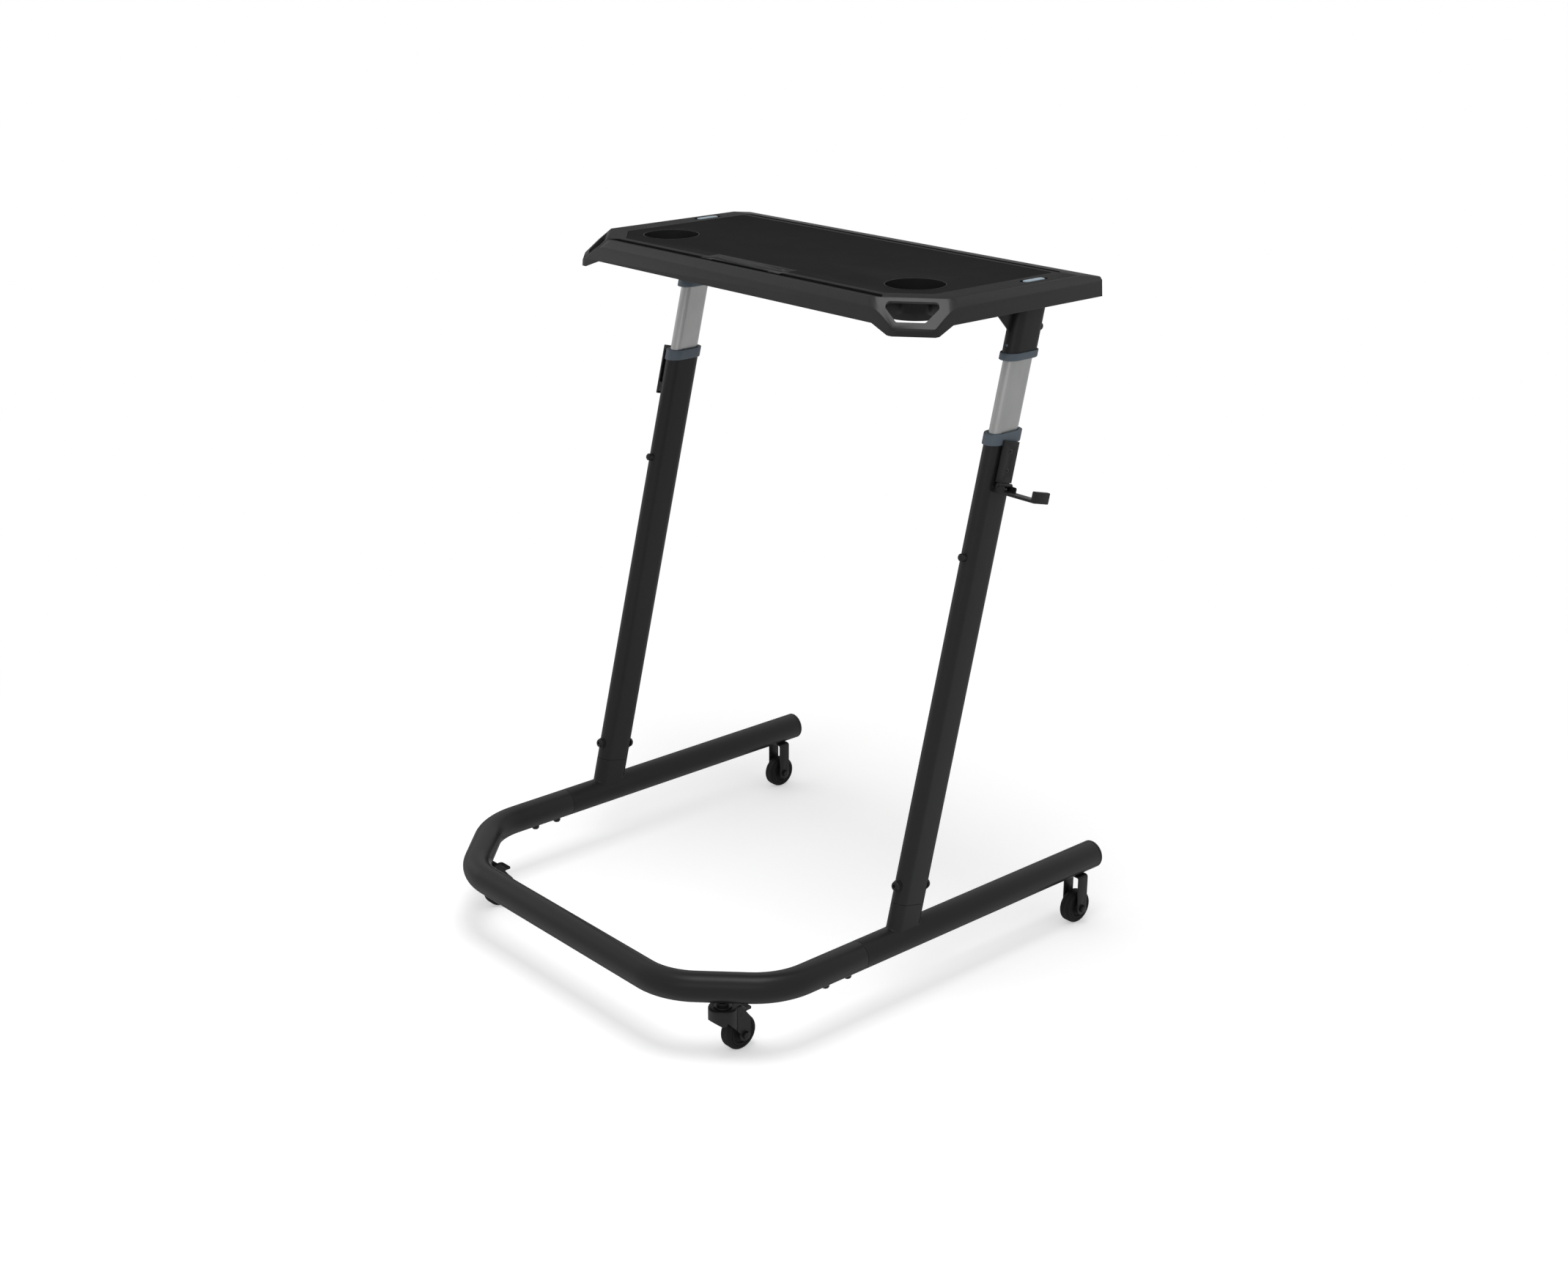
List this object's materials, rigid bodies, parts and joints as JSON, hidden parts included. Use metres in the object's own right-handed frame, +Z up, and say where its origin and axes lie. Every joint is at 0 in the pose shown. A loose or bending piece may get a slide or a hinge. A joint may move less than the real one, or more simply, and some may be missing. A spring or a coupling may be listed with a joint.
{
  "type": "bike trainer desk",
  "caption": "Height-adjustable desk on casters that stands over an indoor bicycle trainer, with leaning telescopic legs, a U-shaped tube base, cup wells and corner hand holds.",
  "frame": {"origin": "on the floor, below the middle of the whole desk's bounding box, with the right hook folded out", "axes": "+X from the left leg to the right leg, +Y from the crossbar towards the rider at the open end of the base, +Z up"},
  "size_m": [0.9572, 0.9025, 1.1842],
  "materials": {
    "black_steel": "satin black powder coat",
    "black_plastic": "fine grained matt moulding",
    "mat_rubber": "matt",
    "wheel_rubber": "matt",
    "blue_plastic": "grained matt moulding",
    "badge_plastic": "smooth",
    "silver_metal": "satin anodised",
    "bolt_steel": "black oxide"
  },
  "bodies": {
    "base_frame": {"front_tube": "black_steel", "side_tube_left": "black_steel", "joining_sleeve_left": "black_steel", "end_cap_left": "black_plastic", "lower_leg_tube_left": "black_steel", "lower_collar_left": "blue_plastic", "hook_bracket_left": "black_steel", "hook_pin_left": "bolt_steel", "rear_fork_left": "black_steel", "rear_axle_left": "bolt_steel", "caster_stem_left": "bolt_steel", "sleeve_bolt_left_1": "bolt_steel", "sleeve_bolt_left_2": "bolt_steel", "foot_bolt_left_1": "bolt_steel", "foot_bolt_left_2": "bolt_steel", "bracket_screw_left_1": "bolt_steel", "bracket_screw_left_2": "bolt_steel", "side_tube_right": "black_steel", "joining_sleeve_right": "black_steel", "end_cap_right": "black_plastic", "lower_leg_tube_right": "black_steel", "lower_collar_right": "blue_plastic", "hook_bracket_right": "black_steel", "hook_pin_right": "bolt_steel", "rear_fork_right": "black_steel", "rear_axle_right": "bolt_steel", "caster_stem_right": "bolt_steel", "sleeve_bolt_right_1": "bolt_steel", "sleeve_bolt_right_2": "bolt_steel", "foot_bolt_right_1": "bolt_steel", "foot_bolt_right_2": "bolt_steel", "bracket_screw_right_1": "bolt_steel", "bracket_screw_right_2": "bolt_steel"},
    "desk_lift": {"desktop": "black_plastic", "desk_mat": "mat_rubber", "tablet_stop": "black_plastic", "silver_tube_left": "silver_metal", "upper_collar_left": "blue_plastic", "upper_leg_tube_left": "black_steel", "upper_bolt_left": "bolt_steel", "badge_left": "badge_plastic", "silver_tube_right": "silver_metal", "upper_collar_right": "blue_plastic", "upper_leg_tube_right": "black_steel", "upper_bolt_right": "bolt_steel", "badge_right": "badge_plastic"},
    "hook_left": {"hook_arm_left": "black_steel"},
    "lock_left": {"lock_pin_left": "bolt_steel"},
    "rear_roller_left": {"rear_wheel_left": "wheel_rubber"},
    "front_swivel_left": {"front_fork_left": "black_steel", "front_axle_left": "bolt_steel"},
    "front_roller_left": {"front_wheel_left": "wheel_rubber"},
    "brake_left": {"brake_pedal_left": "black_steel"},
    "hook_right": {"hook_arm_right": "black_steel"},
    "lock_right": {"lock_pin_right": "bolt_steel"},
    "rear_roller_right": {"rear_wheel_right": "wheel_rubber"},
    "front_swivel_right": {"front_fork_right": "black_steel", "front_axle_right": "bolt_steel"},
    "front_roller_right": {"front_wheel_right": "wheel_rubber"},
    "brake_right": {"brake_pedal_right": "black_steel"}
  },
  "joints": [
    {"name": "desk_height", "type": "slide", "parent": "base_frame", "child": "desk_lift", "axis": [0, 0.2419, 0.9703], "range_m": [-0.1, 0.15]},
    {"name": "hook_fold_left", "type": "hinge", "parent": "base_frame", "child": "hook_left", "pos_m": [-0.4613, 0.15564, 0.86858], "axis": [0, -0.9703, 0.2419], "range_deg": [0, 90]},
    {"name": "lock_pull_left", "type": "slide", "parent": "base_frame", "child": "lock_left", "axis": [0, -0.9703, 0.2419], "range_m": [0, 0.006], "stiffness_N_per_m": 800},
    {"name": "rear_wheel_spin_left", "type": "hinge", "parent": "base_frame", "child": "rear_roller_left", "pos_m": [-0.4358, 0.4094, 0.03], "axis": [1, 0, 0], "continuous": true},
    {"name": "front_swivel_turn_left", "type": "hinge", "parent": "base_frame", "child": "front_swivel_left", "pos_m": [-0.37005, -0.36065, 0.06], "axis": [0, 0, 1], "continuous": true},
    {"name": "front_wheel_spin_left", "type": "hinge", "parent": "front_swivel_left", "child": "front_roller_left", "pos_m": [-0.37005, -0.3294, 0.03], "axis": [1, 0, 0], "continuous": true},
    {"name": "brake_press_left", "type": "hinge", "parent": "front_swivel_left", "child": "brake_left", "pos_m": [-0.37005, -0.33865, 0.07], "axis": [-1, 0, 0], "range_deg": [0, 12]},
    {"name": "hook_fold_right", "type": "hinge", "parent": "base_frame", "child": "hook_right", "pos_m": [0.3961, 0.15564, 0.86858], "axis": [0, -0.9703, 0.2419], "range_deg": [0, 90]},
    {"name": "lock_pull_right", "type": "slide", "parent": "base_frame", "child": "lock_right", "axis": [0, -0.9703, 0.2419], "range_m": [0, 0.006], "stiffness_N_per_m": 800},
    {"name": "rear_wheel_spin_right", "type": "hinge", "parent": "base_frame", "child": "rear_roller_right", "pos_m": [0.3706, 0.4094, 0.03], "axis": [1, 0, 0], "continuous": true},
    {"name": "front_swivel_turn_right", "type": "hinge", "parent": "base_frame", "child": "front_swivel_right", "pos_m": [0.30485, -0.36065, 0.06], "axis": [0, 0, 1], "continuous": true},
    {"name": "front_wheel_spin_right", "type": "hinge", "parent": "front_swivel_right", "child": "front_roller_right", "pos_m": [0.30485, -0.3294, 0.03], "axis": [1, 0, 0], "continuous": true},
    {"name": "brake_press_right", "type": "hinge", "parent": "front_swivel_right", "child": "brake_right", "pos_m": [0.30485, -0.33865, 0.07], "axis": [-1, 0, 0], "range_deg": [0, 12]}
  ]
}
